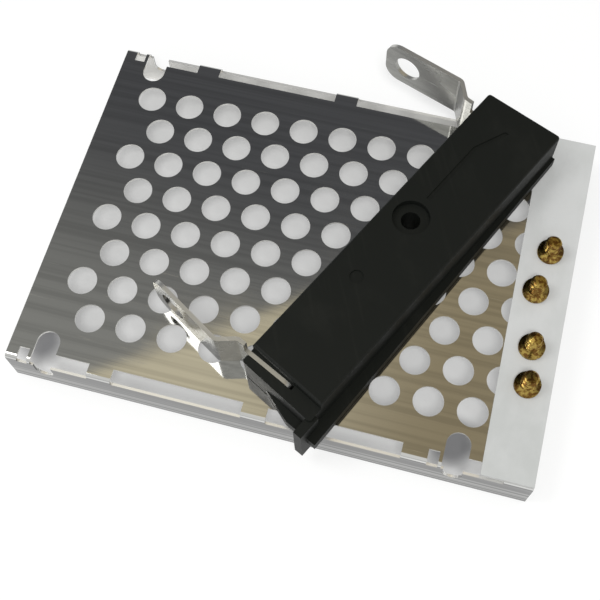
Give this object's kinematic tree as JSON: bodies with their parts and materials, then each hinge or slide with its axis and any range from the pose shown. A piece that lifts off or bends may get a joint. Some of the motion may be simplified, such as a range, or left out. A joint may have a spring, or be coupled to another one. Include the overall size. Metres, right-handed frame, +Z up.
{
  "type": "hard drive caddy and cover",
  "caption": "Perforated folded-metal caddy for a small hard drive, with its moulded end cover and steel side arms laid across it and loose screws on its end strip.",
  "frame": {"origin": "middle of the drive bay's mouth, between the wall feet, on the surface the tray lies on", "axes": "+X along the tray to the end with the strip, +Y to its back wall, +Z up from wall feet to plate"},
  "size_m": [0.0976, 0.0815, 0.019],
  "materials": {
    "tray_metal": "bright rolled sheet, fine lengthwise grain",
    "strip_film": "matt film",
    "cover_plastic": "black, fine spark texture",
    "arm_steel": "bright sheet",
    "screw_brass": "yellow passivated"
  },
  "bodies": {
    "root": {"tray": "tray_metal", "end_strip": "strip_film", "end_cover": "cover_plastic", "front_arm": "arm_steel", "back_arm": "arm_steel", "screw_1": "screw_brass", "screw_2": "screw_brass", "screw_3": "screw_brass", "screw_4": "screw_brass"}
  },
  "joints": []
}
